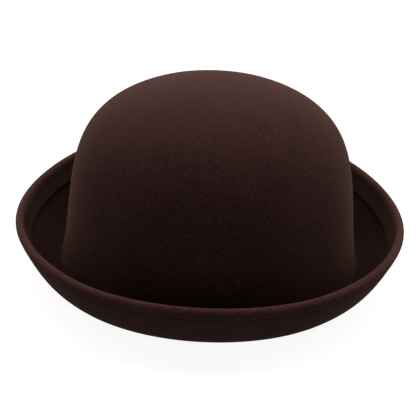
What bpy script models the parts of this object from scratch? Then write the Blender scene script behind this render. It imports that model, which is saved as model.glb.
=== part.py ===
"""Roll-brim bowler hat in wool felt, standing crown up on its brim.

Frame: metres, +Z up, origin on the surface that the hat stands on, below the middle of the hat.
The front of the hat faces -Y and its wearer's left is +X.

The hat is built round its headline, an oval of four circular arcs. Every level of the brim and
every band inside the hat is that oval moved sideways by an offset, so their arcs share centres.
The crown is the same oval, drawn in towards the tip of the dome.
"""

import math

import bmesh
import bpy
import numpy as np
from mathutils import Vector

# The front of the brim reaches further than the back, so the headline oval sits behind the middle.
CENTRE = Vector((0.0, 0.0021, 0.0))
STILL = Vector((0.0, 0.0, 0.0))

# Headline oval, through the middle of the felt. It leaves a head girth of about 566 mm.
HALF_LENGTH = 0.1030
HALF_WIDTH = 0.0863
END_RADIUS = 0.0740
HEADLINE_Z = 0.0185

# Felt
FELT = 0.0017
GAP = 0.0003
AROUND = 60
BAND_STEP = 3.0
LONG_BAND_STEP = 5.0
SMOOTH_UP_TO = 40.0

# Crown: height over all, how square its shoulder is, and how much its wall leans in.
CROWN_HEIGHT = 0.1115
WALL_POWER = 4.8
DOME_POWER = 2.17
CROWN_TAPER = 0.09
CROWN_RINGS = 13
RING_CROWDING = 1.8

# Brim, from the headline out: a fillet, the land that it stands on, and the roll up to the fold.
FILLET_REACH = 0.0066
LAND = 0.0024
REACH = {"front": 0.0388, "side": 0.0287, "back": 0.0348}
RISE = {"front": 0.0287, "side": 0.0305, "back": 0.0408}
LIP_ANGLE = {"front": 53.5, "side": 68.6, "back": 61.6}
QUARTER_SHARE = 1.62
FILLET_STEPS = 3
ROLL_POINTS = 8
FOLD_STEPS = 5
HEM_LEVELS = (1 / 6, 1 / 3, 2 / 3, 1)
TANGENT_REACH = 0.0005

# Turned edge of the brim: the felt folds inwards round a wire and is sewn below it.
FOLD_RADIUS = 0.00165
HEM_WIDTH = 0.0120
HEM_GAP = 0.00045
HEM_LIFT = 0.0008
STITCH_DEPTH = 0.0040
WIRE_RADIUS = 0.00035
JOINER_RADIUS = 0.00045
JOINER_LENGTH = 0.0060
JOINER_SIDES = 12
THREAD_RADIUS = 0.00025

# Layers inside the crown, as offsets inwards from the headline oval to the middle of each band.
# They lean in with the crown's wall above the headline.
WALL_LEAN = 0.102
LOOP_TAPE = 0.0010
HOOK_TAPE = 0.0010
TAPE = 0.0006
RIBBON = 0.0007
LABEL = 0.0004
OUTER_LAYER = FELT / 2 + GAP + LOOP_TAPE / 2
MIDDLE_LAYER = OUTER_LAYER + LOOP_TAPE / 2 + GAP + HOOK_TAPE / 2
RIBBON_LAYER = MIDDLE_LAYER + HOOK_TAPE / 2 + GAP + RIBBON / 2
LABEL_LAYER = RIBBON_LAYER + RIBBON / 2 + GAP + LABEL / 2

# Sweatband: an open ring whose two ends stop short of the middle of the back.
BACK = 90.0
SWEATBAND_Z = (0.0075, 0.0355)
SWEATBAND_TURN_Z = 0.0125
SWEATBAND_HALF_OPENING = 21.8
END_STITCH_INSET = 2.0
END_STITCH_FOOT = 0.0020
END_STITCH_TOP = 0.0015

# Size adjuster at the back, in degrees of arc from the middle of the back.
TAPE_Z = (0.0165, 0.0285)
FASTENER_Z = (0.0145, 0.0305)
LOOP_TAPE_ARC = (-8.0, 44.0)
HOOK_TAPE_ARC = (-13.7, 4.0)
PULL_TAPE_ARC = (-44.0, -14.0)
TAPE_RUN_ARC = (44.3, 340.0)

# Labels
MAKER_LABEL_ARC = (-12.0, 12.0)
MAKER_LABEL_Z = (0.0155, 0.0315)
MAKER_LABEL_STEP = 4.0
MAKER_LABEL_STITCH_POINTS = 7
MAKER_LABEL_STITCH_INSET = 1.0
LABEL_STITCH_INSET = 0.0015
CARE_LABEL_WIDTH = 0.0220
CARE_LABEL_X = -0.0786
CARE_LABEL_Z = (0.0095, 0.0312)
CARE_MARGIN_X = -0.0791
CARE_MARGIN_Z = (0.0315, 0.0345)
SIZE_TAB_WIDTH = 0.0120
SIZE_TAB_Z = (0.0180, 0.0295)

COLOURS = {
    "wool_felt": (0.040, 0.021, 0.019, 0.95, 0.0),
    "ribbon": (0.022, 0.013, 0.012, 0.70, 0.0),
    "thread": (0.030, 0.016, 0.014, 0.60, 0.0),
    "wire": (0.55, 0.55, 0.56, 0.35, 1.0),
    "fastener": (0.018, 0.013, 0.012, 0.80, 0.0),
    "tape": (0.060, 0.045, 0.040, 0.85, 0.0),
    "label": (0.62, 0.58, 0.52, 0.65, 0.0),
}


def clear_scene():
    for obj in list(bpy.data.objects):
        bpy.data.objects.remove(obj)


def make_collection():
    collection = bpy.data.collections.new("bowler_hat")
    bpy.context.scene.collection.children.link(collection)
    return collection


def make_materials():
    made = {}
    for name, (red, green, blue, roughness, metallic) in COLOURS.items():
        material = bpy.data.materials.new(name)
        material.use_nodes = True
        shader = material.node_tree.nodes["Principled BSDF"]
        shader.inputs["Base Color"].default_value = (red, green, blue, 1.0)
        shader.inputs["Roughness"].default_value = roughness
        shader.inputs["Metallic"].default_value = metallic
        made[name] = material
    return made


# ---------------------------------------------------------------- the headline oval


def side_radius():
    """Radius of the two side arcs that meet the end arcs smoothly."""
    centre = HALF_LENGTH - END_RADIUS
    return (HALF_WIDTH**2 + centre**2 - END_RADIUS**2) / (2 * (HALF_WIDTH - END_RADIUS))


def oval_point(degrees, offset=0.0):
    """(x, y) on the oval where its outward normal has this direction, moved out by offset."""
    normal = Vector((math.cos(math.radians(degrees)), math.sin(math.radians(degrees))))
    end_centre = HALF_LENGTH - END_RADIUS
    side_centre = side_radius() - HALF_WIDTH
    on_end = abs(normal.y) * side_centre > abs(normal.x) * end_centre
    if on_end:
        centre = Vector((0.0, math.copysign(end_centre, normal.y)))
        radius = END_RADIUS
    else:
        centre = Vector((-math.copysign(side_centre, normal.x), 0.0))
        radius = side_radius()
    return centre + normal * (radius + offset)


def round_the_hat(values, degrees):
    """A value that goes smoothly from its front to its side to its back setting."""
    sine = math.sin(math.radians(degrees))
    share = 1 - (1 - sine * sine) ** QUARTER_SHARE
    far = values["front"] if sine < 0 else values["back"]
    return values["side"] + (far - values["side"]) * share


# ---------------------------------------------------------------- sections of the felt


def crown_section():
    """(share of the oval, z) from the headline to just short of the tip, at mid felt."""
    rise = CROWN_HEIGHT - FELT / 2 - HEADLINE_Z
    section = []
    for step in range(CROWN_RINGS):
        turn = math.pi / 2 * (step / CROWN_RINGS) ** RING_CROWDING
        height = math.sin(turn) ** (2 / WALL_POWER)
        share = math.cos(turn) ** (2 / DOME_POWER) * (1 - CROWN_TAPER * height)
        section.append((share, HEADLINE_Z + rise * height))
    section[0] = (1.0, HEADLINE_Z + GAP / 2)
    return section


def roll_curve(degrees, points=60):
    """(offset, z) down the roll of the brim at mid felt, from the land to the fold."""
    start = FILLET_REACH + LAND
    reach = round_the_hat(REACH, degrees)
    rise = round_the_hat(RISE, degrees)
    slope = math.tan(math.radians(round_the_hat(LIP_ANGLE, degrees)))
    corner = max(reach - (rise - FELT / 2) / slope, start)
    along = np.linspace(0, 1, points)
    offset = (1 - along) ** 2 * start + 2 * along * (1 - along) * corner + along**2 * reach
    z = (1 - along**2) * FELT / 2 + along**2 * rise
    return np.column_stack([offset, z])


def below_the_fold(curve, depth):
    """Point of the roll this far below the fold, and its unit tangent towards the fold."""
    steps = np.linalg.norm(np.diff(curve, axis=0), axis=1)
    from_fold = np.concatenate([[0], np.cumsum(steps[::-1])])
    backwards = curve[::-1]

    def at(distance):
        return np.array([np.interp(distance, from_fold, backwards[:, k]) for k in range(2)])

    tangent = at(max(depth - TANGENT_REACH, 0)) - at(depth + TANGENT_REACH)
    return at(depth), tangent / np.linalg.norm(tangent)


def off_the_roll(curve, depth, inwards):
    """Point at this depth below the fold, moved off mid felt towards the crown."""
    point, tangent = below_the_fold(curve, depth)
    return point + inwards * np.array([-tangent[1], tangent[0]])


def fold_centre(degrees):
    return off_the_roll(roll_curve(degrees), 0, FOLD_RADIUS)


def hem_distance(depth):
    """Distance between mid felt of the roll and of the hem, which the stitching draws in."""
    sewn = FELT + HEM_GAP
    if depth < STITCH_DEPTH:
        return 2 * FOLD_RADIUS + (sewn - 2 * FOLD_RADIUS) * depth / STITCH_DEPTH
    return sewn + HEM_LIFT * (depth - STITCH_DEPTH) / (HEM_WIDTH - STITCH_DEPTH)


def brim_section(degrees):
    """(offset, z) at mid felt, from the headline to the raw edge of the hem."""
    section = []
    fillet_rise = HEADLINE_Z - GAP / 2 - FELT / 2
    for step in range(FILLET_STEPS + 1):
        turn = math.pi / 2 * step / FILLET_STEPS
        offset = FILLET_REACH * (1 - math.cos(turn))
        section.append((offset, FELT / 2 + fillet_rise * (1 - math.sin(turn))))
    curve = roll_curve(degrees)
    section += [tuple(point) for point in roll_curve(degrees, ROLL_POINTS)]
    point, tangent = below_the_fold(curve, 0)
    inwards = np.array([-tangent[1], tangent[0]])
    centre = point + inwards * FOLD_RADIUS
    for step in range(1, FOLD_STEPS + 1):
        turn = math.pi * step / FOLD_STEPS
        arm = tangent * math.sin(turn) - inwards * math.cos(turn)
        section.append(tuple(centre + arm * FOLD_RADIUS))
    for share in HEM_LEVELS:
        depth = HEM_WIDTH * share
        section.append(tuple(off_the_roll(curve, depth, hem_distance(depth))))
    return section


# ---------------------------------------------------------------- builders


def add_to(collection, obj, material):
    for other in obj.users_collection:
        other.objects.unlink(obj)
    collection.objects.link(obj)
    obj.data.materials.clear()
    obj.data.materials.append(material)
    return obj


def sheet_from_rows(
    collection, name, rows, thickness, material, closed=True, tip=None, pivot=STILL
):
    """A felt, ribbon or label piece: rows of points joined by faces, thickened both ways."""
    bm = bmesh.new()
    grid = [[bm.verts.new(Vector(point) - pivot) for point in row] for row in rows]
    count = len(rows[0])
    for near, far in zip(grid, grid[1:]):
        for i in range(count if closed else count - 1):
            j = (i + 1) % count
            bm.faces.new((near[i], near[j], far[j], far[i]))
    if tip is not None:
        top = bm.verts.new(Vector(tip) - pivot)
        for i in range(count):
            bm.faces.new((grid[-1][i], grid[-1][(i + 1) % count], top))
    mesh = bpy.data.meshes.new(name)
    bm.to_mesh(mesh)
    bm.free()
    obj = bpy.data.objects.new(name, mesh)
    obj.location = CENTRE + pivot
    collection.objects.link(obj)
    mesh.materials.append(material)
    mesh.shade_smooth()
    mesh.set_sharp_from_angle(angle=math.radians(SMOOTH_UP_TO))
    solidify = obj.modifiers.new("thickness", "SOLIDIFY")
    solidify.thickness = thickness
    solidify.offset = 0.0
    solidify.use_even_offset = True
    return obj


def band(collection, name, arc, profile, thickness, material, step=BAND_STEP, pivot=STILL):
    """A strip that runs round the headline oval; profile is its (offset, z) from foot to top."""
    first, last = arc
    steps = max(1, round((last - first) / step))
    angles = [first + (last - first) * i / steps for i in range(steps + 1)]
    rows = [
        [(*oval_point(angle, offset), z) for angle in angles] for offset, z in profile
    ]
    return sheet_from_rows(
        collection, name, rows, thickness, material, closed=False, pivot=pivot
    )


def thread(collection, name, points, material, radius=THREAD_RADIUS, closed=False, sides=1):
    """A round thread or wire through these points."""
    curve = bpy.data.curves.new(name, "CURVE")
    curve.dimensions = "3D"
    curve.bevel_depth = radius
    curve.bevel_resolution = sides
    curve.use_fill_caps = True
    spline = curve.splines.new("POLY")
    spline.points.add(len(points) - 1)
    for target, point in zip(spline.points, points):
        target.co = (*point, 1.0)
    spline.use_cyclic_u = closed
    obj = bpy.data.objects.new(name, curve)
    obj.location = CENTRE
    collection.objects.link(obj)
    curve.materials.append(material)
    return obj


def lean(offset_in, z):
    """Offset of a layer at this height: it follows the crown's wall."""
    return -offset_in - WALL_LEAN * max(z - HEADLINE_Z, 0.0)


def leaning(offset_in, foot, top):
    return [(lean(offset_in, z), z) for z in (foot, HEADLINE_Z, top)]


def angles_round():
    return [360.0 * i / AROUND for i in range(AROUND)]


# ---------------------------------------------------------------- the pieces


def build_crown(collection, materials):
    rows = [
        [(*(oval_point(angle) * share), z) for angle in angles_round()]
        for share, z in crown_section()
    ]
    tip = (0.0, 0.0, CROWN_HEIGHT - FELT / 2)
    return sheet_from_rows(
        collection, "felt_crown", rows, FELT, materials["wool_felt"], tip=tip
    )


def build_brim(collection, materials):
    sections = [brim_section(angle) for angle in angles_round()]
    rows = [
        [
            (*oval_point(angle, section[level][0]), section[level][1])
            for angle, section in zip(angles_round(), sections)
        ]
        for level in range(len(sections[0]))
    ]
    return sheet_from_rows(collection, "felt_brim", rows, FELT, materials["wool_felt"])


def build_brim_edge(collection, materials):
    """The wire in the fold, the crimp that joins its ends, and the row of stitching below."""
    half_crimp = JOINER_LENGTH / 2 + GAP
    back_radius = END_RADIUS + fold_centre(BACK)[0]
    half_angle = math.degrees(half_crimp / back_radius)
    first = BACK + half_angle
    sweep = 360.0 - 2 * half_angle
    points = []
    for i in range(AROUND + 1):
        angle = first + sweep * i / AROUND
        offset, z = fold_centre(angle)
        points.append((*oval_point(angle, offset), z))
    thread(collection, "brim_wire", points, materials["wire"], WIRE_RADIUS, sides=2)

    offset, z = fold_centre(BACK)
    bpy.ops.mesh.primitive_cylinder_add(
        vertices=JOINER_SIDES,
        radius=JOINER_RADIUS,
        depth=JOINER_LENGTH,
        location=CENTRE + Vector((*oval_point(BACK, offset), z)),
        rotation=(0, math.pi / 2, 0),
    )
    joiner = add_to(collection, bpy.context.object, materials["wire"])
    joiner.name = "brim_wire_joiner"

    clear_of_felt = FELT / 2 + GAP + THREAD_RADIUS
    rows = {
        "brim_edge_stitching_outer": -clear_of_felt,
        "brim_edge_stitching_inner": hem_distance(STITCH_DEPTH) + clear_of_felt,
    }
    for name, inwards in rows.items():
        points = []
        for angle in angles_round():
            offset, z = off_the_roll(roll_curve(angle), STITCH_DEPTH, inwards)
            points.append((*oval_point(angle, offset), z))
        thread(collection, name, points, materials["thread"], closed=True)


def build_sweatband(collection, materials):
    """The ribbon, whose foot turns out to the felt where it is sewn, and its stitching."""
    foot, top = SWEATBAND_Z
    profile = [(0.0, foot), *leaning(RIBBON_LAYER, SWEATBAND_TURN_Z, top)]
    first = BACK + SWEATBAND_HALF_OPENING
    last = BACK + 360.0 - SWEATBAND_HALF_OPENING
    band(
        collection, "sweatband", (first, last), profile, RIBBON, materials["ribbon"], LONG_BAND_STEP
    )

    clear = RIBBON / 2 + GAP + THREAD_RADIUS
    low, high = np.array(profile[0]), np.array(profile[1])
    slope = (high - low) / np.linalg.norm(high - low)
    offset, z = (low + high) / 2 + clear * np.array([-slope[1], slope[0]])
    left, right = first + END_STITCH_INSET, last - END_STITCH_INSET
    angles = [left + (right - left) * i / AROUND for i in range(AROUND + 1)]
    points = [(*oval_point(angle, offset), z) for angle in angles]
    thread(collection, "sweatband_stitching", points, materials["thread"])

    stitch_layer = RIBBON_LAYER + clear
    heights = (SWEATBAND_TURN_Z + END_STITCH_FOOT, top - END_STITCH_TOP)
    ends = {"sweatband_end_stitching_left": left, "sweatband_end_stitching_right": right}
    for name, angle in ends.items():
        points = [(*oval_point(angle, offset), z) for offset, z in leaning(stitch_layer, *heights)]
        thread(collection, name, points, materials["thread"])


def build_adjuster(collection, materials):
    """The size adjuster: a tape round the head whose hook end is pulled along a loop end."""
    tape, fastener = materials["tape"], materials["fastener"]

    def strip(name, arc, layer, heights, thickness, material, step=BAND_STEP, pivot=STILL):
        arc = (BACK + arc[0], BACK + arc[1])
        profile = leaning(layer, *heights)
        band(collection, name, arc, profile, thickness, material, step, pivot)

    strip("adjuster_tape", TAPE_RUN_ARC, OUTER_LAYER, TAPE_Z, TAPE, tape, LONG_BAND_STEP)
    strip("adjuster_loop_tape", LOOP_TAPE_ARC, OUTER_LAYER, FASTENER_Z, LOOP_TAPE, fastener)

    back_arc_centre = Vector((0.0, HALF_LENGTH - END_RADIUS, HEADLINE_Z))
    moving = {"layer": MIDDLE_LAYER, "pivot": back_arc_centre}
    strip("adjuster_pull_tape", PULL_TAPE_ARC, heights=TAPE_Z, thickness=TAPE, material=tape, **moving)
    strip(
        "adjuster_hook_tape", HOOK_TAPE_ARC, heights=FASTENER_Z, thickness=HOOK_TAPE,
        material=fastener, **moving,
    )


def build_labels(collection, materials):
    heights = MAKER_LABEL_Z
    profile = leaning(LABEL_LAYER, *heights)
    band(collection, "maker_label", MAKER_LABEL_ARC, profile, LABEL, materials["label"], MAKER_LABEL_STEP)
    stitch_layer = LABEL_LAYER + LABEL / 2 + GAP + THREAD_RADIUS
    low, high = heights[0] + LABEL_STITCH_INSET, heights[1] - LABEL_STITCH_INSET
    first = MAKER_LABEL_ARC[0] + MAKER_LABEL_STITCH_INSET
    last = MAKER_LABEL_ARC[1] - MAKER_LABEL_STITCH_INSET
    across = list(np.linspace(first, last, MAKER_LABEL_STITCH_POINTS))
    outline = [(angle, low) for angle in across] + [(angle, high) for angle in reversed(across)]
    points = [(*oval_point(angle, lean(stitch_layer, z)), z) for angle, z in outline]
    thread(collection, "maker_label_stitching", points, materials["thread"], closed=True)

    def flat_label(name, x, width, heights, pivot=STILL):
        rows = [[(x, -width / 2, z), (x, width / 2, z)] for z in heights]
        sheet_from_rows(
            collection, name, rows, LABEL, materials["label"], closed=False, pivot=pivot
        )

    seam = Vector((CARE_LABEL_X, 0.0, (CARE_LABEL_Z[1] + CARE_MARGIN_Z[0]) / 2))
    flat_label("care_label_margin", CARE_MARGIN_X, CARE_LABEL_WIDTH, CARE_MARGIN_Z)
    flat_label("care_label", CARE_LABEL_X, CARE_LABEL_WIDTH, CARE_LABEL_Z, seam)
    flat_label("size_tab", CARE_LABEL_X + LABEL + GAP, SIZE_TAB_WIDTH, SIZE_TAB_Z, seam)
    x = CARE_MARGIN_X + LABEL / 2 + GAP + THREAD_RADIUS
    z = sum(CARE_MARGIN_Z) / 2
    half = CARE_LABEL_WIDTH / 2 - LABEL_STITCH_INSET
    points = [(x, -half, z), (x, half, z)]
    thread(collection, "care_label_stitching", points, materials["thread"])


def main():
    clear_scene()
    collection = make_collection()
    materials = make_materials()
    build_crown(collection, materials)
    build_brim(collection, materials)
    build_brim_edge(collection, materials)
    build_sweatband(collection, materials)
    build_adjuster(collection, materials)
    build_labels(collection, materials)


main()
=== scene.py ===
"""Looks of the roll-brim bowler hat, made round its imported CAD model.

Metres and degrees, in the frame of the CAD: +Z up, the hat's front faces -Y. Angles round the
hat are directions from its middle: 0 is the wearer's left (+X) and 90 is the back (+Y).
"""

import math

import bmesh
import bpy
import numpy as np
from mathutils import Matrix, Vector


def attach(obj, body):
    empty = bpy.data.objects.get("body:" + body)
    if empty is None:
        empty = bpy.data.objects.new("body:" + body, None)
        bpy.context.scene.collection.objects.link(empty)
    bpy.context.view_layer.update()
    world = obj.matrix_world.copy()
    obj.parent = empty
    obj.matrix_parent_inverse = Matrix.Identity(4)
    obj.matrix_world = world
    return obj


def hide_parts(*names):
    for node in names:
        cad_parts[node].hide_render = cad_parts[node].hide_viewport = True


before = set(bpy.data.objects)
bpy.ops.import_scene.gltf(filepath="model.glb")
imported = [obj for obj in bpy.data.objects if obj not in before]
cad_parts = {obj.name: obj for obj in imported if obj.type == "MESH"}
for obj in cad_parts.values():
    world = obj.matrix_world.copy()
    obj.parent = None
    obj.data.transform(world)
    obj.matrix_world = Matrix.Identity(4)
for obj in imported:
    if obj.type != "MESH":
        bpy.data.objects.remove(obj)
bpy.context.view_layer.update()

# ---------------------------------------------------------------- the hat's own dimensions

CENTRE_Y = 0.0021
BACK = 90.0

# Headline oval of four circular arcs, through the middle of the felt
HALF_LENGTH = 0.1030
HALF_WIDTH = 0.0863
END_RADIUS = 0.0740
HEADLINE_Z = 0.0185

# Crown: height over all, how square its shoulder is, and how much its wall leans in
FELT = 0.0017
CROWN_HEIGHT = 0.1115
WALL_POWER = 4.8
DOME_POWER = 2.17
CROWN_TAPER = 0.09

# Brim, from the headline out: a fillet, the land that it stands on, and the roll up to the fold
FILLET_REACH = 0.0066
LAND = 0.0024
REACH = {"front": 0.0388, "side": 0.0287, "back": 0.0348}
RISE = {"front": 0.0287, "side": 0.0305, "back": 0.0408}
LIP_ANGLE = {"front": 53.5, "side": 68.6, "back": 61.6}
QUARTER_SHARE = 1.62
ROLL_POINTS = 80
TANGENT_REACH = 0.0005

# Turned edge of the brim: the seam draws both layers of felt into a shallow groove
FOLD_RADIUS = 0.00165
HEM_WIDTH = 0.0120
HEM_LIFT = 0.0008
HEM_LIFT_POWER = 1.5
SEWN_GAP = 0.0001
STITCH_DEPTH = 0.0040
GROOVE = 0.00014
GROOVE_WIDTH = 0.0015

# ---------------------------------------------------------------- shared mesh code

THREAD_SIDES = 6
THREAD_END_SIZE = 0.55

# Share of a stitch's length, and the share of its sink that it lies in the cloth there
STITCH_DIP = ((0, 1.0), (0.1, 0.35), (0.3, 0.0), (0.7, 0.0), (0.9, 0.35), (1, 1.0))

SOFT_EDGE_SEGMENTS = 2
SOFT_EDGE_ANGLE = 50.0


def side_radius():
    """Radius of the two side arcs that meet the end arcs smoothly."""
    centre = HALF_LENGTH - END_RADIUS
    return (HALF_WIDTH**2 + centre**2 - END_RADIUS**2) / (2 * (HALF_WIDTH - END_RADIUS))


def outward(degrees):
    return np.array([math.cos(math.radians(degrees)), math.sin(math.radians(degrees))])


def oval_point(degrees, offset=0.0):
    """(x, y) where the headline oval's outward normal has this direction, moved out by offset."""
    normal = outward(degrees)
    end_centre = HALF_LENGTH - END_RADIUS
    side_centre = side_radius() - HALF_WIDTH
    if abs(normal[1]) * side_centre > abs(normal[0]) * end_centre:
        centre = np.array([0.0, math.copysign(end_centre, normal[1])])
        radius = END_RADIUS
    else:
        centre = np.array([-math.copysign(side_centre, normal[0]), 0.0])
        radius = side_radius()
    return centre + normal * (radius + offset)


def on_hat(degrees, offset, z):
    """The place in the frame at this direction, this far outside the headline oval."""
    x, y = oval_point(degrees, offset)
    return np.array([x, y + CENTRE_Y, z])


def round_the_hat(values, degrees):
    """A value that goes smoothly from its front to its side to its back setting."""
    sine = math.sin(math.radians(degrees))
    share = 1 - (1 - sine * sine) ** QUARTER_SHARE
    far = values["front"] if sine < 0 else values["back"]
    return values["side"] + (far - values["side"]) * share


def roll_curve(degrees):
    """(offset, z) down the roll of the brim at mid felt, from the land to the fold."""
    start = FILLET_REACH + LAND
    reach = round_the_hat(REACH, degrees)
    rise = round_the_hat(RISE, degrees)
    slope = math.tan(math.radians(round_the_hat(LIP_ANGLE, degrees)))
    corner = max(reach - (rise - FELT / 2) / slope, start)
    along = np.linspace(0, 1, ROLL_POINTS)
    offset = (1 - along) ** 2 * start + 2 * along * (1 - along) * corner + along**2 * reach
    z = (1 - along**2) * FELT / 2 + along**2 * rise
    return np.column_stack([offset, z])


def below_the_fold(curve, depth):
    """Point of the roll this far below the fold, and the unit normal towards the crown."""
    steps = np.linalg.norm(np.diff(curve, axis=0), axis=1)
    from_fold = np.concatenate([[0], np.cumsum(steps[::-1])])
    backwards = curve[::-1]

    def at(distance):
        return np.array([np.interp(distance, from_fold, backwards[:, k]) for k in range(2)])

    tangent = at(max(depth - TANGENT_REACH, 0)) - at(depth + TANGENT_REACH)
    tangent /= np.linalg.norm(tangent)
    return at(depth), np.array([-tangent[1], tangent[0]])


def groove(depth):
    """How far the seam draws the felt in, at this depth below the fold."""
    return GROOVE * math.exp(-(((depth - STITCH_DEPTH) / GROOVE_WIDTH) ** 2))


def hem_distance(depth):
    """From mid felt of the roll to mid felt of the hem, drawn together by the seam."""
    sewn = FELT + SEWN_GAP
    if depth < STITCH_DEPTH:
        share = depth / STITCH_DEPTH
        return 2 * FOLD_RADIUS + (sewn - 2 * FOLD_RADIUS) * share * share * (3 - 2 * share)
    share = (depth - STITCH_DEPTH) / (HEM_WIDTH - STITCH_DEPTH)
    return sewn + HEM_LIFT * share**HEM_LIFT_POWER


def link(obj):
    bpy.context.scene.collection.objects.link(obj)
    return obj


def grid_object(name, rows, uv, material, closed=False, capped=False):
    """Faces between rows of points, with a UV map in metres; capped closes the first row."""
    rows, uv = np.asarray(rows), np.asarray(uv)
    levels, count = rows.shape[:2]
    columns = count if closed else count - 1
    level, column = np.meshgrid(np.arange(levels - 1), np.arange(columns), indexing="ij")
    corners = [
        (level, column), (level + 1, column), (level + 1, column + 1), (level, column + 1)
    ]
    faces = np.stack([i * count + j % count for i, j in corners], axis=-1)
    faces = faces.reshape(-1, 4).tolist()
    places = np.stack([uv[i, j] for i, j in corners], axis=-2).reshape(-1, 2)
    if capped:
        faces.append(list(range(count)))
        places = np.vstack([places, uv[0, :count]])
    mesh = bpy.data.meshes.new(name)
    mesh.from_pydata(rows.reshape(-1, 3).tolist(), [], faces)
    mesh.uv_layers.new(name="cloth").data.foreach_set("uv", places.ravel())
    mesh.materials.append(material)
    mesh.shade_smooth()
    return link(bpy.data.objects.new(name, mesh))


def thicken(obj, thickness):
    modifier = obj.modifiers.new("thickness", "SOLIDIFY")
    modifier.thickness = thickness
    modifier.offset = 0.0
    modifier.use_even_offset = True
    modifier.use_quality_normals = True
    return obj


def soften_edges(obj, width):
    modifier = obj.modifiers.new("soft edges", "BEVEL")
    modifier.width = width
    modifier.segments = SOFT_EDGE_SEGMENTS
    modifier.limit_method = "ANGLE"
    modifier.angle_limit = math.radians(SOFT_EDGE_ANGLE)
    modifier.harden_normals = False
    return obj


def arc_lengths(points, closed=False):
    """Distance along a line of points, from its first one."""
    points = np.asarray(points)
    if closed:
        points = np.vstack([points, points[:1]])
    return np.concatenate([[0], np.cumsum(np.linalg.norm(np.diff(points, axis=0), axis=1))])


def strip_width(profile):
    """Distance along a profile of (offset, z) places, from its foot."""
    return arc_lengths([(offset, z, 0) for offset, z in profile])


def tubes(name, paths, radius, material):
    """One mesh of many short threads with narrower ends, each along its own path."""
    bm = bmesh.new()
    for path in paths:
        path = [Vector(point) for point in path]
        rings = []
        for i, point in enumerate(path):
            ahead = path[min(i + 1, len(path) - 1)] - path[max(i - 1, 0)]
            ahead.normalize()
            across = ahead.orthogonal().normalized() if i == 0 else across
            across = (across - ahead * across.dot(ahead)).normalized()
            other = ahead.cross(across)
            at_end = i in (0, len(path) - 1)
            size = radius * (THREAD_END_SIZE if at_end else 1.0)
            ring = []
            for k in range(THREAD_SIDES):
                turn = 2 * math.pi * k / THREAD_SIDES
                arm = across * math.cos(turn) + other * math.sin(turn)
                ring.append(bm.verts.new(point + arm * size))
            rings.append(ring)
        for near, far in zip(rings, rings[1:]):
            for k in range(THREAD_SIDES):
                j = (k + 1) % THREAD_SIDES
                bm.faces.new((near[k], near[j], far[j], far[k]))
        bm.faces.new(reversed(rings[0]))
        bm.faces.new(rings[-1])
    bm.normal_update()
    mesh = bpy.data.meshes.new(name)
    bm.to_mesh(mesh)
    bm.free()
    mesh.materials.append(material)
    mesh.shade_smooth()
    return link(bpy.data.objects.new(name, mesh))


def stitch_paths(line, normals, pitch, gap, sink, closed=False):
    """Single stitches along a line: each dips into the cloth at its two needle holes."""
    line, normals = np.asarray(line), np.asarray(normals)
    if closed:
        line, normals = np.vstack([line, line[:1]]), np.vstack([normals, normals[:1]])
    along = arc_lengths(line)
    count = max(1, round(along[-1] / pitch))
    pitch = along[-1] / count
    paths = []
    for i in range(count):
        path = []
        for share, dip in STITCH_DIP:
            place = pitch * i + gap / 2 + (pitch - gap) * share
            point = np.array([np.interp(place, along, line[:, k]) for k in range(3)])
            normal = np.array([np.interp(place, along, normals[:, k]) for k in range(3)])
            path.append(point - normal * sink * dip)
        paths.append(path)
    return paths


# ---------------------------------------------------------------- material tools


def add_node(tree, kind, settings=None, **inputs):
    """A shader node; an input is a socket to link, or a value.

    An input's name has _ for a space, and i with a number picks the input in that place.
    """
    node = tree.nodes.new(kind)
    for key, value in (settings or {}).items():
        setattr(node, key, value)
    for key, value in inputs.items():
        by_number = key[1:].isdigit()
        socket = node.inputs[int(key[1:]) if by_number else key.replace("_", " ")]
        if isinstance(value, bpy.types.NodeSocket):
            tree.links.new(value, socket)
        else:
            socket.default_value = value
    return node


def math_node(tree, operation, first, second=0.0):
    node = add_node(tree, "ShaderNodeMath", {"operation": operation}, i0=first, i1=second)
    return node.outputs[0]


def noise(tree, place, scale, detail, roughness, distortion=0.0):
    """Noise with its scale in features per metre."""
    node = add_node(
        tree, "ShaderNodeTexNoise", Vector=place, Scale=scale, Detail=detail,
        Roughness=roughness, Distortion=distortion,
    )
    return node.outputs["Fac"]


def turned(tree, place, stretch, turn):
    """The place stretched and turned, so that what is read there runs in another direction."""
    rotation = [math.radians(angle) for angle in turn]
    mapping = add_node(
        tree, "ShaderNodeMapping", Vector=place, Scale=stretch, Rotation=rotation
    )
    return mapping.outputs[0]


def ramp(tree, value, low, high):
    """value rescaled so that low gives 0 and high gives 1."""
    node = add_node(tree, "ShaderNodeMapRange", Value=value, From_Min=low, From_Max=high)
    return node.outputs[0]


def weighted(tree, first, first_weight, second, second_weight):
    return math_node(
        tree, "ADD",
        math_node(tree, "MULTIPLY", first, first_weight),
        math_node(tree, "MULTIPLY", second, second_weight),
    )


def mix_colour(tree, share, first, second):
    node = add_node(tree, "ShaderNodeMix", {"data_type": "RGBA"}, i0=share)
    for socket, value in ((node.inputs[6], first), (node.inputs[7], second)):
        if isinstance(value, bpy.types.NodeSocket):
            tree.links.new(value, socket)
        else:
            socket.default_value = (*value, 1.0)
    return node.outputs[2]


def ripple(tree, along, pitch):
    """0 to 1 and back once every pitch metres."""
    wave = math_node(tree, "SINE", math_node(tree, "MULTIPLY", along, 2 * math.pi / pitch))
    return ramp(tree, wave, -1.0, 1.0)


def object_place(tree):
    return add_node(tree, "ShaderNodeTexCoord").outputs["Object"]


def cloth_uv(tree):
    """Metres along the piece, metres across it, and both as one place, from its UV map."""
    place = add_node(tree, "ShaderNodeUVMap", {"uv_map": "cloth"}).outputs[0]
    split = add_node(tree, "ShaderNodeSeparateXYZ", Vector=place)
    return split.outputs[0], split.outputs[1], place


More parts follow.
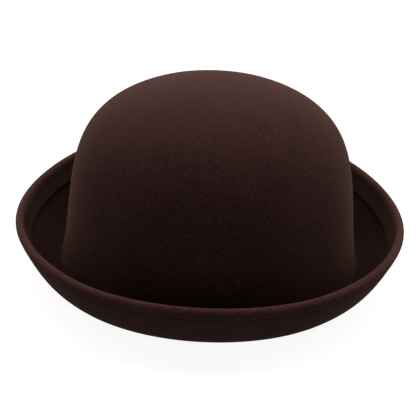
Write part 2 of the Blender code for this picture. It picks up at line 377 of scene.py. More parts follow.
def new_material(name, roughness, specular, sheen=0.0, sheen_tint=(1, 1, 1),
                 sheen_roughness=0.45, metallic=0.0):
    material = bpy.data.materials.new(name)
    material.use_nodes = True
    tree = material.node_tree
    shader = tree.nodes["Principled BSDF"]
    shader.inputs["Roughness"].default_value = roughness
    shader.inputs["Metallic"].default_value = metallic
    shader.inputs["Specular IOR Level"].default_value = specular
    shader.inputs["Sheen Weight"].default_value = sheen
    shader.inputs["Sheen Roughness"].default_value = sheen_roughness
    shader.inputs["Sheen Tint"].default_value = (*sheen_tint, 1.0)
    return material, tree, shader


def set_colour(tree, shader, colour):
    tree.links.new(colour, shader.inputs["Base Color"])


def set_bump(tree, shader, height, depth, strength=1.0):
    bump = add_node(tree, "ShaderNodeBump", Height=height, Distance=depth, Strength=strength)
    tree.links.new(bump.outputs[0], shader.inputs["Normal"])


# ---------------------------------------------------------------- materials

# Pairs of colours are the darkest and the lightest of a cloth's tones.
FELT_RED = ((0.0152, 0.0058, 0.0058), (0.0380, 0.0138, 0.0130))
FELT_OLIVE = ((0.0137, 0.0066, 0.0056), (0.0335, 0.0165, 0.0136))
FELT_FIBRE_TIPS = (0.080, 0.034, 0.030)
FELT_SHEEN_TINT = (1.0, 0.51, 0.38)
RIBBON_BROWN = ((0.0160, 0.0085, 0.0068), (0.0340, 0.0180, 0.0145))
RIBBON_SHEEN_TINT = (0.7, 0.42, 0.34)
THREAD_BROWN = ((0.008, 0.0036, 0.003), (0.022, 0.010, 0.008))
WIRE_GREY = ((0.42, 0.42, 0.43), (0.62, 0.62, 0.63))
TAPE_BROWN = ((0.020, 0.013, 0.011), (0.060, 0.042, 0.036))
LOOP_BROWN = ((0.006, 0.004, 0.0035), (0.040, 0.027, 0.023))
LOOP_SHEEN_TINT = (0.5, 0.4, 0.36)
HOOK_BROWN = ((0.009, 0.006, 0.0055), (0.020, 0.014, 0.012))
LABEL_CREAM = (0.58, 0.53, 0.46)
LABEL_BROWN = (0.10, 0.06, 0.05)
LABEL_WHITE = (0.66, 0.63, 0.58)
LABEL_GREY = (0.45, 0.42, 0.38)
LABEL_TWILL_SHADE = 0.86
LABEL_BORDER_HALF_WIDTH = 0.00030
FLOOR_GREY = ((0.12, 0.12, 0.12), (0.13, 0.13, 0.13))
FLOOR_GLOW = 0.92

# How the felt's fibres lie: three layers, each stretched and turned its own way. Painted light:
# felt that looks down is made lighter, coming in between these two heights of its normal.
FIBRE_LAYERS = (
    ((1.0, 0.45, 0.8), (0, 0, 25)),
    ((0.45, 1.0, 0.8), (20, 0, -35)),
    ((0.8, 0.9, 0.42), (35, 20, 0)),
)
FIBRES_PER_METRE = 1500
UNDERSIDE_PAINTED_LIGHT = 1.35
UNDERSIDE_PAINTED_LIGHT_SLOPES = (0.10, -0.25)

RIBBON_YARN = 0.00032
TAPE_WARP, TAPE_WEFT = 0.00060, 0.00045
HOOK_WARP, HOOK_WEFT = 0.0007, 0.0011
LABEL_TWILL = 0.00028


def felt_material():
    """Dark brown wool felt: speckled matted fibres, soft mottling, a warm sheen at the edges, and
    painted light and shade that scale its tone.
    """
    material, tree, shader = new_material(
        "wool felt", 0.95, specular=0.06, sheen=0.085, sheen_tint=FELT_SHEEN_TINT,
        sheen_roughness=0.30,
    )
    place = object_place(tree)
    fibres = [
        noise(tree, turned(tree, place, *layer), FIBRES_PER_METRE, 2, 0.6, distortion=1.2)
        for layer in FIBRE_LAYERS
    ]
    matted = math_node(tree, "MAXIMUM", math_node(tree, "MAXIMUM", *fibres[:2]), fibres[2])
    speckle = noise(tree, place, scale=900, detail=2, roughness=0.75)
    tone = noise(tree, place, scale=420, detail=3, roughness=0.7)
    clouds = noise(tree, place, scale=38, detail=4, roughness=0.6)
    shade = ramp(tree, weighted(tree, clouds, 0.2, speckle, 0.8), 0.36, 0.62)
    red = mix_colour(tree, shade, *FELT_RED)
    olive = mix_colour(tree, shade, *FELT_OLIVE)
    dyed = mix_colour(tree, ramp(tree, tone, 0.42, 0.60), red, olive)
    lit = mix_colour(tree, ramp(tree, matted, 0.60, 0.92), dyed, FELT_FIBRE_TIPS)

    # Painted shade towards the headline and in the brim, and a painted highlight on the fold, read
    # from the mesh
    painted_light_and_shade = add_node(tree, "ShaderNodeAttribute", {"attribute_name": "painted_light_and_shade"}).outputs["Fac"]
    # Painted light from below: felt that faces down is made lighter
    facing = add_node(tree, "ShaderNodeNewGeometry").outputs["Normal"]
    facing_up = add_node(tree, "ShaderNodeSeparateXYZ", Vector=facing).outputs[2]
    under = math_node(tree, "MULTIPLY", ramp(tree, facing_up, *UNDERSIDE_PAINTED_LIGHT_SLOPES), UNDERSIDE_PAINTED_LIGHT)
    painted_light_and_shade = math_node(tree, "MAXIMUM", painted_light_and_shade, under)
    shown = add_node(tree, "ShaderNodeVectorMath", {"operation": "SCALE"}, i0=lit, Scale=painted_light_and_shade)
    set_colour(tree, shader, shown.outputs[0])
    height = math_node(tree, "ADD", math_node(tree, "MULTIPLY", matted, 0.6), speckle)
    set_bump(tree, shader, height, depth=0.00030, strength=0.8)
    return material


def ribbon_material():
    """Petersham ribbon: the ribs are in the mesh; the yarns across them and the sheen are here."""
    material, tree, shader = new_material(
        "petersham ribbon", 0.62, specular=0.25, sheen=0.18, sheen_tint=RIBBON_SHEEN_TINT
    )
    _, across, place = cloth_uv(tree)
    shade = noise(tree, place, scale=240, detail=3, roughness=0.6)
    set_colour(tree, shader, mix_colour(tree, ramp(tree, shade, 0.3, 0.75), *RIBBON_BROWN))
    yarns = ripple(tree, across, RIBBON_YARN)
    height = math_node(tree, "ADD", yarns, math_node(tree, "MULTIPLY", shade, 0.8))
    set_bump(tree, shader, height, depth=0.00006)
    return material


def thread_material():
    material, tree, shader = new_material("sewing thread", 0.8, specular=0.08)
    ply = noise(tree, object_place(tree), scale=4200, detail=1, roughness=0.5)
    set_colour(tree, shader, mix_colour(tree, ramp(tree, ply, 0.35, 0.7), *THREAD_BROWN))
    set_bump(tree, shader, ply, depth=0.00008)
    return material


def metal_material():
    """Drawn spring wire, with fine streaks of tone and polish."""
    material, tree, shader = new_material("spring wire", 0.3, specular=0.5, metallic=1.0)
    drawn = noise(tree, object_place(tree), scale=900, detail=4, roughness=0.7)
    set_colour(tree, shader, mix_colour(tree, drawn, *WIRE_GREY))
    tree.links.new(ramp(tree, drawn, -0.6, 2.2), shader.inputs["Roughness"])
    set_bump(tree, shader, drawn, depth=0.00002)
    return material


def tape_material():
    """Flat woven tape: warp and weft in a plain weave."""
    material, tree, shader = new_material("woven tape", 0.75, specular=0.25, sheen=0.3)
    along, across, place = cloth_uv(tree)
    weave = math_node(
        tree, "MULTIPLY", ripple(tree, across, TAPE_WARP), ripple(tree, along, TAPE_WEFT)
    )
    shade = noise(tree, place, scale=300, detail=3, roughness=0.6)
    share = weighted(tree, weave, 0.6, shade, 0.4)
    set_colour(tree, shader, mix_colour(tree, share, *TAPE_BROWN))
    set_bump(tree, shader, weave, depth=0.00012)
    return material


def loop_material():
    """The soft half of a hook and loop tape: a mat of fine loops."""
    material, tree, shader = new_material(
        "loop tape", 0.9, specular=0.2, sheen=0.5, sheen_tint=LOOP_SHEEN_TINT
    )
    place = object_place(tree)
    loops = add_node(
        tree, "ShaderNodeTexVoronoi", {"feature": "DISTANCE_TO_EDGE"}, Vector=place, Scale=2200
    )
    fuzz = noise(tree, place, scale=3600, detail=3, roughness=0.7, distortion=1.5)
    share = math_node(tree, "MULTIPLY", ramp(tree, loops.outputs[0], 0.0, 0.35), fuzz)
    set_colour(tree, shader, mix_colour(tree, share, *LOOP_BROWN))
    set_bump(tree, shader, share, depth=0.00030)
    return material


def hook_material():
    """The stiff half of a hook and loop tape, seen from its flat back."""
    material, tree, shader = new_material("hook tape", 0.55, specular=0.45)
    along, across, place = cloth_uv(tree)
    weave = math_node(
        tree, "MULTIPLY", ripple(tree, along, HOOK_WEFT), ripple(tree, across, HOOK_WARP)
    )
    shade = noise(tree, place, scale=500, detail=3, roughness=0.6)
    set_colour(tree, shader, mix_colour(tree, shade, *HOOK_BROWN))
    set_bump(tree, shader, weave, depth=0.00014)
    return material


def label_material(name, ground, border, border_place):
    """Blank woven satin label with a plain line this far from its middle, above and below."""
    material, tree, shader = new_material(name, 0.5, specular=0.45, sheen=0.15)
    along, across, place = cloth_uv(tree)
    slant = math_node(tree, "ADD", along, math_node(tree, "MULTIPLY", across, 0.5))
    twill = ripple(tree, slant, LABEL_TWILL)
    shade = noise(tree, place, scale=180, detail=2, roughness=0.5)
    from_middle = math_node(tree, "ABSOLUTE", across)
    line = math_node(tree, "COMPARE", from_middle, border_place)
    line.node.inputs[2].default_value = LABEL_BORDER_HALF_WIDTH
    darker = [LABEL_TWILL_SHADE * channel for channel in ground]
    woven = mix_colour(tree, math_node(tree, "MULTIPLY", twill, shade), ground, darker)
    set_colour(tree, shader, mix_colour(tree, line, woven, border))
    set_bump(tree, shader, twill, depth=0.00004)
    return material


def floor_material():
    """Pale table with a little light of its own, and clear from below, so that all sides show."""
    material, tree, shader = new_material("pale floor", 0.85, specular=0.2)
    shade = noise(tree, object_place(tree), scale=3, detail=2, roughness=0.5)
    set_colour(tree, shader, mix_colour(tree, shade, *FLOOR_GREY))
    shader.inputs["Emission Color"].default_value = (1, 1, 1, 1)
    shader.inputs["Emission Strength"].default_value = FLOOR_GLOW
    below = add_node(tree, "ShaderNodeNewGeometry").outputs["Backfacing"]
    clear = add_node(tree, "ShaderNodeBsdfTransparent").outputs[0]
    surface = add_node(tree, "ShaderNodeMixShader", i0=below, i1=shader.outputs[0], i2=clear)
    tree.links.new(surface.outputs[0], tree.nodes["Material Output"].inputs["Surface"])
    return material


# ---------------------------------------------------------------- felt

FELT_COLUMNS = 360
CROWN_ROWS = 60
CROWN_CROWDING = 1.8
TIP_TURN = 0.004
FILLET_ROWS = 10
LAND_ROWS = 3
ROLL_ROWS = 40
ROLL_CROWDING = 1.35
FOLD_ROWS = 13
HEM_ROWS = 17
HEADLINE_SPREAD = 6
HEADLINE_PASSES = 30
FELT_EDGE = 0.0003

# Painted light and shade on the felt, as a share of the crown's tone: painted shade towards the
# headline and in the brim, a painted highlight on the fold, and how far each change takes
CROWN_PAINTED_TONE = 1.0
HEADLINE_PAINTED_SHADE = 0.74
BRIM_PAINTED_SHADE = 0.52
FOLD_PAINTED_HIGHLIGHT = 1.5
PAINTED_SHADE_ABOVE_HEADLINE = 0.040
PAINTED_SHADE_BELOW_HEADLINE = 0.012
FOLD_HIGHLIGHT_WIDTH = 0.0038

SEAM_POINTS = 720
THREAD_LIFT = 0.00008
BRIM_STITCH = {"pitch": 0.0031, "gap": 0.0005, "sink": 0.00035}
BRIM_THREAD = 0.00022


def crown_levels():
    """(share of the oval, z) from the tip of the dome to the headline, at mid felt."""
    rise = CROWN_HEIGHT - FELT / 2 - HEADLINE_Z
    levels = []
    for step in range(CROWN_ROWS, -1, -1):
        turn = math.pi / 2 * (step / CROWN_ROWS) ** CROWN_CROWDING
        turn = min(turn, math.pi / 2 - TIP_TURN)
        height = math.sin(turn) ** (2 / WALL_POWER)
        share = math.cos(turn) ** (2 / DOME_POWER) * (1 - CROWN_TAPER * height)
        levels.append((share, HEADLINE_Z + rise * height))
    return levels


def brim_levels(degrees):
    """(offset, z) at mid felt from just below the headline to the raw edge of the hem."""
    levels = []
    for step in range(1, FILLET_ROWS + 1):
        turn = math.pi / 2 * step / FILLET_ROWS
        z = FELT / 2 + (HEADLINE_Z - FELT / 2) * (1 - math.sin(turn))
        levels.append((FILLET_REACH * (1 - math.cos(turn)), z))
    for step in range(1, LAND_ROWS):
        levels.append((FILLET_REACH + LAND * step / LAND_ROWS, FELT / 2))
    curve = roll_curve(degrees)
    length = arc_lengths(curve)[-1]
    for step in range(ROLL_ROWS + 1):
        depth = length * (1 - step / ROLL_ROWS) ** ROLL_CROWDING
        point, inwards = below_the_fold(curve, depth)
        levels.append(tuple(point + inwards * groove(depth)))
    point, inwards = below_the_fold(curve, 0)
    ahead = np.array([inwards[1], -inwards[0]])
    for step in range(1, FOLD_ROWS + 1):
        turn = math.pi * step / (FOLD_ROWS + 1)
        arm = ahead * math.sin(turn) - inwards * math.cos(turn)
        levels.append(tuple(point + (inwards + arm) * FOLD_RADIUS))
    for step in range(HEM_ROWS):
        depth = HEM_WIDTH * step / (HEM_ROWS - 1)
        point, inwards = below_the_fold(curve, depth)
        levels.append(tuple(point + inwards * (groove(depth) + hem_distance(depth))))
    return levels


def smooth_rows(rows, first, last, times):
    """Soften the bend between these rows of a grid."""
    for _ in range(times):
        middle = rows[first:last]
        rows[first:last] = middle / 2 + (rows[first - 1:last - 1] + rows[first + 1:last + 1]) / 4


def paint_light_and_shade(felt, down, headline_row):
    """Store painted light and shade for each row of the felt: painted shade towards the headline
    and in the brim, and a painted highlight on its fold.
    """
    headline = down[headline_row]
    fold = down[len(down) - 1 - HEM_ROWS - FOLD_ROWS // 2]
    painted_light_and_shade = np.interp(
        down,
        [headline - PAINTED_SHADE_ABOVE_HEADLINE, headline, headline + PAINTED_SHADE_BELOW_HEADLINE],
        [CROWN_PAINTED_TONE, HEADLINE_PAINTED_SHADE, BRIM_PAINTED_SHADE],
    )
    # Painted highlight along the fold
    painted_light_and_shade += (FOLD_PAINTED_HIGHLIGHT - BRIM_PAINTED_SHADE) * np.exp(-(((down - fold) / FOLD_HIGHLIGHT_WIDTH) ** 2))
    attribute = felt.data.attributes.new("painted_light_and_shade", "FLOAT", "POINT")
    attribute.data.foreach_set("value", np.repeat(painted_light_and_shade, FELT_COLUMNS))


def build_felt(material):
    """Crown and brim as one moulded piece of felt, with its edge turned in and sewn."""
    angles = [360.0 * i / FELT_COLUMNS for i in range(FELT_COLUMNS)]
    rows = []
    for share, z in crown_levels():
        rows.append([(*(oval_point(angle) * share + (0, CENTRE_Y)), z) for angle in angles])
    headline_row = len(rows) - 1
    brim = [brim_levels(angle) for angle in angles]
    for level in range(len(brim[0])):
        rows.append([on_hat(angle, *levels[level]) for angle, levels in zip(angles, brim)])
    rows = np.array(rows)
    first, last = headline_row - HEADLINE_SPREAD, headline_row + HEADLINE_SPREAD
    smooth_rows(rows, first, last, HEADLINE_PASSES)

    down = arc_lengths(rows[:, 0])
    round_headline = arc_lengths(rows[headline_row], closed=True)
    uv = np.stack(np.meshgrid(round_headline, down), axis=-1)
    felt = grid_object("felt_hat_body", rows, uv, material, closed=True, capped=True)
    # Painted shade and highlight, stored on the mesh for the felt material
    paint_light_and_shade(felt, down, headline_row)
    thicken(felt, FELT)
    soften_edges(felt, FELT_EDGE)
    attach(felt, "hat")
    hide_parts("felt_crown", "felt_brim")
    return felt


def seam_line(depth, inwards_distance, facing):
    """Points and normals of a seam round the brim's edge, on the felt's outer or hem face."""
    points, normals = [], []
    for i in range(SEAM_POINTS):
        angle = 360.0 * i / SEAM_POINTS
        point, inwards = below_the_fold(roll_curve(angle), depth)
        offset, z = point + inwards * inwards_distance
        points.append(on_hat(angle, offset, z))
        normal = inwards * facing
        normals.append((*(outward(angle) * normal[0]), normal[1]))
    return np.array(points), np.array(normals)


def build_brim_edge(thread, metal):
    """The two faces of the row of stitching below the fold, and the wire inside it."""
    outer = groove(STITCH_DEPTH) - FELT / 2
    inner = groove(STITCH_DEPTH) + hem_distance(STITCH_DEPTH) + FELT / 2
    for name, distance, facing in (
        ("brim_edge_stitching_outer", outer, -1),
        ("brim_edge_stitching_inner", inner, 1),
    ):
        line, normals = seam_line(STITCH_DEPTH, distance, facing)
        line = line + normals * THREAD_LIFT
        paths = stitch_paths(line, normals, **BRIM_STITCH, closed=True)
        side = name.rsplit("_", 1)[1]
        stitches = tubes("brim_stitches_" + side, paths, BRIM_THREAD, thread)
        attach(stitches, "hat")
        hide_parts(name)
    for name in ("brim_wire", "brim_wire_joiner"):
        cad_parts[name].data.materials.clear()
        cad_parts[name].data.materials.append(metal)


# ---------------------------------------------------------------- bands inside the crown

# Layers are offsets inwards from the headline oval, to the middle of each band.
WALL_LEAN = 0.102
OUTER_LAYER = 0.00165
MIDDLE_LAYER = 0.00295
RIBBON_LAYER = 0.00410
LABEL_LAYER = 0.00475
BAND_SPACING = 0.0012
BAND_ROWS = 8
FINE_STEPS = 2000

# Sweatband: its foot turns out to the felt, and it stands up from there
SWEATBAND_HALF_OPENING = 21.8
SWEATBAND_FOOT_Z = 0.0075
SWEATBAND_TURN_Z = 0.0125
SWEATBAND_TOP_Z = 0.0355
SWEATBAND_ROWS = 12
FOOT_SHARES = (0.0, 0.25, 0.5, 0.75)
FOOT_POWER = 0.7
RIBBON_THICKNESS = 0.00045
RIB_PITCH = 0.0015
RIB_DEPTH = 0.00011
PUCKER_DEPTH = 0.00018
PUCKER_REACH = 0.003
WAVE_SIZE, WAVE_LENGTH = 0.00014, 0.011
SMALL_WAVE_SIZE, SMALL_WAVE_LENGTH, SMALL_WAVE_START = 0.00010, 0.0043, 1.0

SWEATBAND_STITCH = {"pitch": 0.0052, "gap": 0.0016, "sink": 0.0004}
SWEATBAND_THREAD = 0.00022
END_STITCH = {"pitch": 0.0025, "gap": 0.0005, "sink": 0.0004}
END_STITCH_INSET = 2.0
END_STITCH_FOOT = 0.002
END_STITCH_TOP = 0.0015
END_THREAD = 0.0002
SEAM_SPACING = 0.002
LINE_POINTS = 30
THREAD_PROUD = 0.00025

# Size adjuster. The fixed tape ends under the pulled one, which still overlaps it when it is
# turned as far as it goes.
TAPE_Z = (0.0165, 0.0285)
FASTENER_Z = (0.0145, 0.0305)
TAPE = 0.0006
FASTENER = 0.0010
TAPE_RUN_ARC = (134.3, 430)
LOOP_ARC = (82, 134)
PULL_ARC = (46, 76)
HOOK_ARC = (76.3, 94)
TAPE_EDGE_SHARE = 0.3


def lean(layer, z):
    """Offset of a layer at this height: it follows the crown's wall."""
    return -layer - WALL_LEAN * max(z - HEADLINE_Z, 0.0)


def even_angles(first, last, offset, spacing):
    """Directions that cut the offset oval into equal lengths, and the length up to each."""
    fine = np.linspace(first, last, FINE_STEPS)
    along = arc_lengths([on_hat(angle, offset, 0) for angle in fine])
    count = max(2, round(along[-1] / spacing))
    lengths = np.linspace(0, along[-1], count + 1)
    return np.interp(lengths, along, fine), lengths


def finish_piece(piece, body, slot, *nodes):
    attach(piece, body)
    if nodes:
        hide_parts(*nodes)
    return piece


def band_piece(name, arc, profile, thickness, material, body, slot,
               spacing=BAND_SPACING, ruffle=None):
    """A strip round the head oval. profile lists (layer offset, z) from foot to top.

    ruffle(along, across) moves the cloth off its place, in metres towards the felt.
    """
    angles, along = even_angles(arc[0], arc[1], profile[len(profile) // 2][0], spacing)
    across = strip_width(profile)
    across = across - across[-1] / 2
    rows, uv = [], []
    for (offset, z), v in zip(profile, across):
        shifts = [ruffle(u, v) if ruffle else 0.0 for u in along]
        rows.append([on_hat(angle, offset + shift, z) for angle, shift in zip(angles, shifts)])
        uv.append([(u, v) for u in along])
    piece = thicken(grid_object(name, rows, uv, material), thickness)
    piece["flat_size"] = (float(across[-1] - across[0]), float(along[-1]))
    return finish_piece(piece, body, slot)


def upright_profile(layer, foot, top, steps=BAND_ROWS):
    heights = np.linspace(foot, top, steps + 1)
    return [(lean(layer, z), z) for z in heights]


def build_sweatband(ribbon, thread):
    """Ribbed ribbon sewn to the felt at its foot; its ends stop short of the back."""
    turn_rise = SWEATBAND_TURN_Z - SWEATBAND_FOOT_Z
    foot = [
        (share * lean(RIBBON_LAYER, 0.0), SWEATBAND_FOOT_Z + share**FOOT_POWER * turn_rise)
        for share in FOOT_SHARES
    ]
    upright = upright_profile(RIBBON_LAYER, SWEATBAND_TURN_Z, SWEATBAND_TOP_Z, SWEATBAND_ROWS)
    profile = foot + upright
    half_width = strip_width(profile)[-1] / 2

    def ruffle(along, across):
        """Ribs, the seam's puckers at the foot, and slow waves that grow towards the top."""
        rib = RIB_DEPTH * math.sin(2 * math.pi * along / RIB_PITCH)
        near_seam = math.exp(-(((across + half_width - PUCKER_REACH) / PUCKER_REACH) ** 2))
        pucker = PUCKER_DEPTH * math.sin(2 * math.pi * along / SWEATBAND_STITCH["pitch"])
        wave = WAVE_SIZE * math.sin(along / WAVE_LENGTH)
        wave += SMALL_WAVE_SIZE * math.sin(along / SMALL_WAVE_LENGTH + SMALL_WAVE_START)
        return rib + pucker * near_seam + wave * max(0.0, across / half_width)

    first, last = BACK + SWEATBAND_HALF_OPENING, BACK + 360.0 - SWEATBAND_HALF_OPENING
    band = band_piece(
        "sweatband_ribbon", (first, last), profile, RIBBON_THICKNESS, ribbon, "hat", "ribbon",
        spacing=RIB_PITCH / 4, ruffle=ruffle,
    )
    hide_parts("sweatband")
    tuple(band["flat_size"])

    first_stitch, last_stitch = first + END_STITCH_INSET, last - END_STITCH_INSET
    middle = len(foot) // 2
    offset, z = profile[middle]
    ahead = np.subtract(profile[middle + 1], profile[middle - 1])
    facing = np.array([-ahead[1], ahead[0]]) / np.linalg.norm(ahead)
    place = np.array([offset, z]) + facing * (RIBBON_THICKNESS / 2 + THREAD_PROUD)
    angles, _ = even_angles(first_stitch, last_stitch, offset, SEAM_SPACING)
    line = [on_hat(angle, *place) for angle in angles]
    normals = [(*(outward(angle) * facing[0]), facing[1]) for angle in angles]
    paths = stitch_paths(line, normals, **SWEATBAND_STITCH)
    stitches = tubes("sweatband_stitches", paths, SWEATBAND_THREAD, thread)
    finish_piece(stitches, "hat", "thread", "sweatband_stitching")

    layer = RIBBON_LAYER + RIBBON_THICKNESS / 2 + THREAD_PROUD
    low, high = SWEATBAND_TURN_Z + END_STITCH_FOOT, SWEATBAND_TOP_Z - END_STITCH_TOP
    heights = np.linspace(low, high, LINE_POINTS)
    for side, angle in (("left", first_stitch), ("right", last_stitch)):
        line = [on_hat(angle, lean(layer, z), z) for z in heights]
        normals = [(*-outward(angle), 0.0) for _ in heights]
        paths = stitch_paths(line, normals, **END_STITCH)
        stitches = tubes("sweatband_end_stitches_" + side, paths, END_THREAD, thread)
        finish_piece(stitches, "hat", "thread", "sweatband_end_stitching_" + side)


def build_adjuster(tape, loop, hook):
    """A tape round the head behind the ribbon, and the hook and loop ends that set its length."""

    def strip(name, node, arc, layer, heights, thickness, material, body, slot):
        profile = upright_profile(layer, *heights)
        piece = band_piece(name, arc, profile, thickness, material, body, slot)
        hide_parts(node)
        soften_edges(piece, thickness * TAPE_EDGE_SHARE)
        tuple(piece["flat_size"])

    strip(
        "adjuster_tape_run", "adjuster_tape", TAPE_RUN_ARC, OUTER_LAYER, TAPE_Z, TAPE,
        tape, "hat", "tape",
    )
    strip(
        "adjuster_loop_strip", "adjuster_loop_tape", LOOP_ARC, OUTER_LAYER, FASTENER_Z, FASTENER,
        loop, "hat", "fastener",
    )
    strip(
        "adjuster_pull_strip", "adjuster_pull_tape", PULL_ARC, MIDDLE_LAYER, TAPE_Z, TAPE,
        tape, "size_adjuster", "tape",
    )
    strip(
        "adjuster_hook_strip", "adjuster_hook_tape", HOOK_ARC, MIDDLE_LAYER, FASTENER_Z, FASTENER,
        hook, "size_adjuster", "fastener",
    )


# ---------------------------------------------------------------- labels

LABEL_THICKNESS = 0.0004
LABEL_STEPS = 16
LABEL_WAVE = 0.25
LABEL_WAVE_TURN = 5
LABEL_WAVE_START = 1
LABEL_STITCH_GAP = 0.0005
LABEL_STITCH_SINK = 0.0003
LABEL_THREAD = 0.00018
LABEL_THREAD_PROUD = 0.00020

MAKER_LABEL_ARC = (-12.0, 12.0)
MAKER_LABEL_Z = (0.0155, 0.0315)
MAKER_BORDER_PLACE = 0.0067
MAKER_STITCH_PITCH = 0.0022
MAKER_STITCH_INSET = 0.0012
MAKER_STITCH_INSET_ANGLE = 0.7
MAKER_STITCH_POINTS = 40

CARE_LABEL_X = -0.0786
CARE_LABEL_WIDTH = 0.0220
CARE_LABEL_Z = (0.0095, 0.0312)
CARE_LABEL_CURL = 0.0009
CARE_BORDER_PLACE = 0.0095
CARE_MARGIN_X = -0.0791
CARE_MARGIN_Z = (0.0315, 0.0345)
CARE_MARGIN_STEPS = 6
CARE_STITCH_PITCH = 0.0024
CARE_STITCH_INSET = 0.0015

SIZE_TAB_X = -0.0779
SIZE_TAB_WIDTH = 0.0120
SIZE_TAB_Z = (0.0180, 0.0295)
SIZE_TAB_CURL = 0.0005
SIZE_TAB_BORDER_PLACE = 0.00445


def label_stitches(line, normals, pitch):
    return stitch_paths(line, normals, pitch, LABEL_STITCH_GAP, LABEL_STITCH_SINK)


def flat_label(name, x, width, heights, material, body, curl=0.0, steps_down=LABEL_STEPS):
    """A label that hangs across the hat's side wall; its foot curls away from the wall."""
    rows, uv = [], []
    tall = heights[1] - heights[0]
    for share_down in np.linspace(0, 1, steps_down):
        z = heights[1] - tall * share_down
        row, places = [], []
        for share in np.linspace(-0.5, 0.5, LABEL_STEPS):
            wave = LABEL_WAVE * math.sin(LABEL_WAVE_TURN * share + LABEL_WAVE_START)
            away = curl * share_down**2 * (1 + wave)
            row.append((x + away, CENTRE_Y + share * width, z))
            places.append((share * width, tall * (0.5 - share_down)))
        rows.append(row)
        uv.append(places)
    piece = thicken(grid_object(name, rows, uv, material), LABEL_THICKNESS)
    piece["flat_size"] = (width, tall)
    return finish_piece(piece, body, "label")


def build_maker_label(material, thread):
    """Blank label sewn flat on the ribbon, on the wearer's left, with stitches all round."""
    profile = upright_profile(LABEL_LAYER, *MAKER_LABEL_Z)
    piece = band_piece(
        "maker_label_blank", MAKER_LABEL_ARC, profile, LABEL_THICKNESS, material, "hat", "label"
    )
    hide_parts("maker_label")
    tuple(piece["flat_size"])

    layer = LABEL_LAYER + LABEL_THICKNESS / 2 + LABEL_THREAD_PROUD
    low, high = MAKER_LABEL_Z[0] + MAKER_STITCH_INSET, MAKER_LABEL_Z[1] - MAKER_STITCH_INSET
    first = MAKER_LABEL_ARC[0] + MAKER_STITCH_INSET_ANGLE
    last = MAKER_LABEL_ARC[1] - MAKER_STITCH_INSET_ANGLE
    corners = [(first, low), (last, low), (last, high), (first, high), (first, low)]
    paths = []
    for (angle_a, z_a), (angle_b, z_b) in zip(corners, corners[1:]):
        shares = np.linspace(0, 1, MAKER_STITCH_POINTS)
        places = [(angle_a + (angle_b - angle_a) * t, z_a + (z_b - z_a) * t) for t in shares]
        line = [on_hat(angle, lean(layer, z), z) for angle, z in places]
        normals = [(*-outward(angle), 0.0) for angle, _ in places]
        paths += label_stitches(line, normals, MAKER_STITCH_PITCH)
    stitches = tubes("maker_label_stitches", paths, LABEL_THREAD, thread)
    finish_piece(stitches, "hat", "thread", "maker_label_stitching")


def build_care_label(care, tab, thread):
    """Blank label that hangs from its sewn top margin, with a size tab on it."""
    margin = flat_label(
        "care_label_seam_edge", CARE_MARGIN_X, CARE_LABEL_WIDTH, CARE_MARGIN_Z, care, "hat",
        steps_down=CARE_MARGIN_STEPS,
    )
    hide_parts("care_label_margin")
    half = CARE_LABEL_WIDTH / 2 - CARE_STITCH_INSET
    x = CARE_MARGIN_X + LABEL_THICKNESS / 2 + LABEL_THREAD_PROUD
    z = sum(CARE_MARGIN_Z) / 2
    line = [(x, CENTRE_Y + y, z) for y in np.linspace(-half, half, LINE_POINTS)]
    paths = label_stitches(line, [(1, 0, 0)] * len(line), CARE_STITCH_PITCH)
    stitches = tubes("care_label_stitches", paths, LABEL_THREAD, thread)
    finish_piece(stitches, "hat", "thread", "care_label_stitching")

    label = flat_label(
        "care_label_blank", CARE_LABEL_X, CARE_LABEL_WIDTH, CARE_LABEL_Z, care,
        "hanging_label", curl=CARE_LABEL_CURL,
    )
    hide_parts("care_label")
    tuple(label["flat_size"])
    small = flat_label(
        "size_tab_blank", SIZE_TAB_X, SIZE_TAB_WIDTH, SIZE_TAB_Z, tab,
        "hanging_label", curl=SIZE_TAB_CURL,
    )
    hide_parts("size_tab")
    tuple(small["flat_size"])


def build_labels(thread):
    maker = label_material("woven label", LABEL_BROWN, LABEL_CREAM, MAKER_BORDER_PLACE)
    care = label_material("satin label", LABEL_WHITE, LABEL_GREY, CARE_BORDER_PLACE)
    tab = label_material("size tab", LABEL_BROWN, LABEL_CREAM, SIZE_TAB_BORDER_PLACE)
    build_maker_label(maker, thread)
    build_care_label(care, tab, thread)


# ---------------------------------------------------------------- light, floor and camera

CAMERA_ELEVATION = 23.04
CAMERA_YAW = 1.51
CAMERA_ROLL = 2.47
CAMERA_DISTANCE = 0.7780
CAMERA_LENS = 109.31
AIM = Vector((-0.00183, CENTRE_Y, 0.03301))

FLOOR_SIZE = 8.0
LIGHT_TARGET = (0.0, 0.0, 0.06)
WARM = (1.0, 0.88, 0.80)
WHITE = (1.0, 1.0, 1.0)

# Name, place, width and height, watts, colour
AREA_LIGHTS = (
    ("overhead softbox", (0.0, 0.42, 1.15), (1.3, 1.0), 15, WARM),
    ("left softbox", (-1.0, 0.45, 0.75), (0.6, 0.9), 8, WARM),
    ("right softbox", (1.0, 0.45, 0.75), (0.6, 0.9), 8, WARM),
    ("left rim light", (-0.70, 1.3, 0.50), (0.5, 0.9), 6, WARM),
    ("right rim light", (0.70, 1.3, 0.50), (0.5, 0.9), 7, WARM),
    ("front strip", (0.0, -1.2, 0.18), (2.6, 0.6), 4, WHITE),
    ("table glow", (0.0, 0.0, -1.0), (1.4, 1.4), 1.1, WHITE),
)
INSIDE_GLOW_PLACE = (0.0, CENTRE_Y, 0.045)
INSIDE_GLOW_WATTS = 0.32
INSIDE_GLOW_RADIUS = 0.03

# The room as light: its strength and tint low down and high up
ROOM_STRENGTH = {"From_Min": -0.3, "From_Max": 0.3, "To_Min": 0.11, "To_Max": 0.28}
ROOM_TINT_HEIGHTS = (-0.2, 0.8)
ROOM_TINTS = ((0.84, 1.0, 1.06), (1.0, 0.97, 0.92))


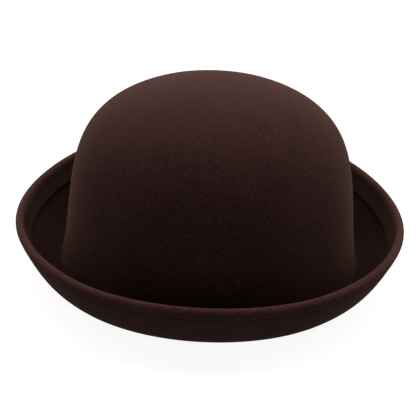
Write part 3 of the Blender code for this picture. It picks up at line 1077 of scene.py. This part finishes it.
def build_camera():
    """The photograph's view: from the front, looking down, slightly rolled."""
    elevation, yaw, roll = (
        math.radians(angle) for angle in (CAMERA_ELEVATION, CAMERA_YAW, CAMERA_ROLL)
    )
    level = math.cos(elevation)
    direction = Vector((math.sin(yaw) * level, -math.cos(yaw) * level, math.sin(elevation)))
    place = CAMERA_DISTANCE * direction + Vector((0, CENTRE_Y, 0))
    ahead = (AIM - place).normalized()
    right = ahead.cross(Vector((0, 0, 1))).normalized()
    up = right.cross(ahead)
    tilted_right = right * math.cos(roll) + up * math.sin(roll)
    tilted_up = up * math.cos(roll) - right * math.sin(roll)
    camera = bpy.data.objects.new("camera", bpy.data.cameras.new("camera"))
    camera.data.lens = CAMERA_LENS
    axes = Matrix((tilted_right, tilted_up, -ahead)).transposed().to_4x4()
    camera.matrix_world = Matrix.Translation(place) @ axes
    link(camera)
    bpy.context.scene.camera = camera


def area_light(name, place, size, power, colour):
    light = bpy.data.lights.new(name, "AREA")
    light.color = colour
    light.shape = "RECTANGLE"
    light.size, light.size_y = size
    light.energy = power
    obj = link(bpy.data.objects.new(name, light))
    obj.location = place
    obj.rotation_mode = "QUATERNION"
    obj.rotation_quaternion = (Vector(LIGHT_TARGET) - Vector(place)).to_track_quat("-Z", "Y")


def inside_glow():
    """A small light in the crown, hidden from the camera, that shows the sweatband from below."""
    glow = bpy.data.lights.new("glow inside the crown", "POINT")
    glow.energy = INSIDE_GLOW_WATTS
    glow.shadow_soft_size = INSIDE_GLOW_RADIUS
    inside = link(bpy.data.objects.new("glow inside the crown", glow))
    inside.location = INSIDE_GLOW_PLACE
    inside.visible_camera = False


def build_world():
    """White behind the hat; what lights the hat is a dim room, brighter above."""
    world = bpy.data.worlds.new("studio")
    world.use_nodes = True
    tree = world.node_tree
    direction = add_node(tree, "ShaderNodeTexCoord").outputs["Generated"]
    height = add_node(tree, "ShaderNodeSeparateXYZ", Vector=direction).outputs[2]
    strength = add_node(tree, "ShaderNodeMapRange", Value=height, **ROOM_STRENGTH)
    tint = mix_colour(tree, ramp(tree, height, *ROOM_TINT_HEIGHTS), *ROOM_TINTS)
    room = tree.nodes["Background"]
    tree.links.new(strength.outputs[0], room.inputs["Strength"])
    tree.links.new(tint, room.inputs["Color"])
    backdrop = add_node(tree, "ShaderNodeBackground", Color=(1, 1, 1, 1), Strength=1.0)
    seen = add_node(tree, "ShaderNodeLightPath").outputs["Is Camera Ray"]
    both = add_node(
        tree, "ShaderNodeMixShader", i0=seen, i1=room.outputs[0], i2=backdrop.outputs[0]
    )
    tree.links.new(both.outputs[0], tree.nodes["World Output"].inputs["Surface"])
    bpy.context.scene.world = world
    bpy.context.scene.view_settings.view_transform = "Standard"


def build_stage():
    """The floor, which neither lights nor shades the hat, and the lamps."""
    bpy.ops.mesh.primitive_plane_add(size=FLOOR_SIZE)
    floor = bpy.context.object
    floor.name = "floor"
    floor.data.materials.append(floor_material())
    floor.visible_diffuse = False
    floor.visible_glossy = False
    floor.visible_shadow = False
    for light in AREA_LIGHTS:
        area_light(*light)
    inside_glow()


def main():
    build_camera()
    build_world()
    build_stage()
    felt = felt_material()
    thread = thread_material()
    metal = metal_material()
    hat = build_felt(felt)
    build_brim_edge(thread, metal)
    build_sweatband(ribbon_material(), thread)
    build_adjuster(tape_material(), loop_material(), hook_material())
    build_labels(thread)


main()
